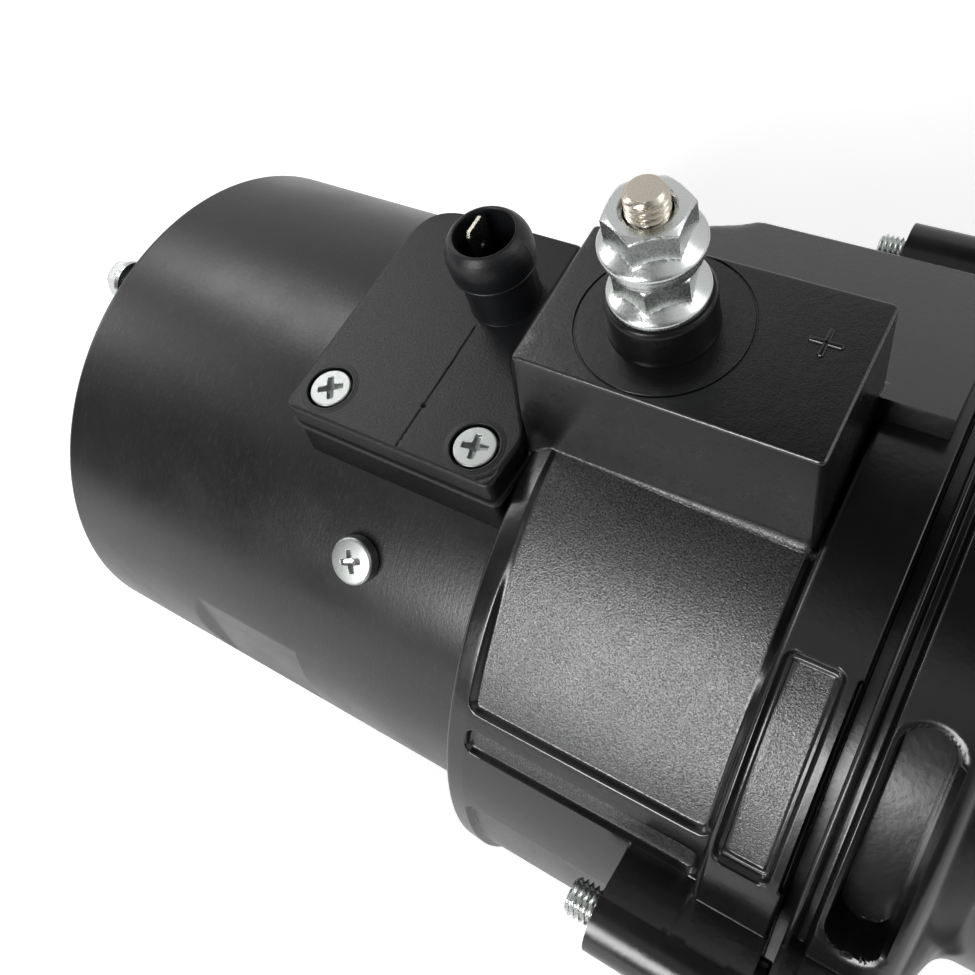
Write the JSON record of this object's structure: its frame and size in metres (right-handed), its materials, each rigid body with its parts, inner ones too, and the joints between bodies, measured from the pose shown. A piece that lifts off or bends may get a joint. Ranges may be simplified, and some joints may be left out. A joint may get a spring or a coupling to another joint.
{
  "type": "coaxial starter motor",
  "caption": "Heavy-duty electric starter motor: black round motor body, cast housing with a battery stud and plug cover, planetary gearing, sliding drive pinion.",
  "frame": {"origin": "centre of the mounting flange's front face, on the shaft axis", "axes": "+X along the shaft towards the drive pinion, +Z along the battery stud, +Y to the side away from the rating-plate flat"},
  "size_m": [0.342, 0.1886, 0.2579],
  "materials": {
    "yoke_paint": "satin black paint with fine turning marks",
    "cast_paint": "semi-gloss black paint on a sand casting",
    "cover_plastic": "moulded, fine grain",
    "base_plastic": "moulded",
    "seal_rubber": "matte",
    "insulator_plastic": "moulded phenolic",
    "zinc_steel": "bright zinc plating",
    "stud_nickel": "nickel plated",
    "tinned_brass": "tinned",
    "lead_insulation": "smooth",
    "machined_steel": "machined",
    "gear_steel": "hardened and ground",
    "bearing_steel": "polished",
    "spring_steel": "drawn",
    "ferrite": "ground ceramic magnet",
    "core_steel": "stacked laminations",
    "copper": "bare copper",
    "brass_sheet": "stamped",
    "bush_bronze": "sintered",
    "carbon": "graphite",
    "coil_wire": "enamelled winding"
  },
  "bodies": {
    "motor": {"yoke": "yoke_paint", "field_magnets": "ferrite", "magnet_clips": "spring_steel", "rear_cover": "yoke_paint", "rear_seal": "seal_rubber", "through_bolts": "zinc_steel", "rear_bearing_outer": "bearing_steel", "brush_plate": "insulator_plastic", "brush_boxes": "brass_sheet", "brushes": "carbon", "brush_springs": "spring_steel", "terminal_base": "base_plastic", "cover_gasket": "seal_rubber", "terminal_cover": "cover_plastic", "cover_screws": "zinc_steel", "blade_terminal": "tinned_brass", "control_lead": "lead_insulation", "earth_screw": "zinc_steel", "centre_housing": "cast_paint", "battery_stud": "stud_nickel", "insulator_bush": "insulator_plastic", "inner_insulator": "insulator_plastic", "lower_nut": "zinc_steel", "stud_washers": "zinc_steel", "upper_nut": "zinc_steel", "motor_contact": "copper", "motor_lead": "copper", "contact_spring": "spring_steel", "relay_coil": "coil_wire", "bearing_plate": "machined_steel", "front_bush": "bush_bronze", "ring_gear": "gear_steel", "guide_sleeve": "brass_sheet", "output_bush": "bush_bronze", "solenoid_frame": "machined_steel", "solenoid_coil": "coil_wire", "pole_core": "machined_steel", "drive_housing": "cast_paint", "housing_bolts": "zinc_steel", "nose_bush": "bush_bronze", "shaft_seal": "seal_rubber"},
    "armature": {"armature_shaft": "machined_steel", "armature_core": "core_steel", "armature_winding": "copper", "commutator": "copper", "commutator_hub": "insulator_plastic", "rear_bearing_inner": "bearing_steel"},
    "output": {"output_shaft": "machined_steel", "planet_pins": "machined_steel", "return_spring": "spring_steel"},
    "planet_1": {"planet_gear_1": "gear_steel"},
    "planet_2": {"planet_gear_2": "gear_steel"},
    "planet_3": {"planet_gear_3": "gear_steel"},
    "clutch": {"clutch_body": "machined_steel", "clutch_rollers": "bearing_steel"},
    "pinion": {"pinion_shaft": "machined_steel", "drive_pinion": "gear_steel", "pinion_nut": "machined_steel"},
    "plunger": {"plunger": "machined_steel"},
    "contact": {"contact_bridge": "copper"}
  },
  "joints": [
    {"name": "armature_spin", "type": "hinge", "parent": "motor", "child": "armature", "pos_m": [0, 0, 0], "axis": [1, 0, 0], "continuous": true},
    {"name": "output_spin", "type": "hinge", "parent": "motor", "child": "output", "pos_m": [0, 0, 0], "axis": [1, 0, 0], "continuous": true},
    {"name": "planet_1_spin", "type": "hinge", "parent": "output", "child": "planet_1", "pos_m": [-0.1158, 0, 0.03], "axis": [1, 0, 0], "continuous": true},
    {"name": "planet_2_spin", "type": "hinge", "parent": "output", "child": "planet_2", "pos_m": [-0.1158, -0.02598, -0.015], "axis": [1, 0, 0], "continuous": true},
    {"name": "planet_3_spin", "type": "hinge", "parent": "output", "child": "planet_3", "pos_m": [-0.1158, 0.02598, -0.015], "axis": [1, 0, 0], "continuous": true},
    {"name": "clutch_slide", "type": "slide", "parent": "output", "child": "clutch", "axis": [1, 0, 0], "range_m": [0, 0.014], "stiffness_N_per_m": 1200, "springref_m": -0.01, "deforming": ["return_spring"]},
    {"name": "pinion_overrun", "type": "hinge", "parent": "clutch", "child": "pinion", "pos_m": [0, 0, 0], "axis": [1, 0, 0], "continuous": true},
    {"name": "plunger_slide", "type": "slide", "parent": "motor", "child": "plunger", "axis": [1, 0, 0], "range_m": [0, 0.014]},
    {"name": "contact_slide", "type": "slide", "parent": "motor", "child": "contact", "axis": [1, 0, 0], "range_m": [0, 0.003], "stiffness_N_per_m": 600, "springref_m": -0.004, "deforming": ["contact_spring"]}
  ],
  "couplings": [
    {"joint": "output_spin", "follows": "armature_spin", "ratio": 0.2},
    {"joint": "planet_1_spin", "follows": "armature_spin", "ratio": -0.53333},
    {"joint": "planet_2_spin", "follows": "armature_spin", "ratio": -0.53333},
    {"joint": "planet_3_spin", "follows": "armature_spin", "ratio": -0.53333},
    {"joint": "plunger_slide", "follows": "clutch_slide", "ratio": 1}
  ]
}
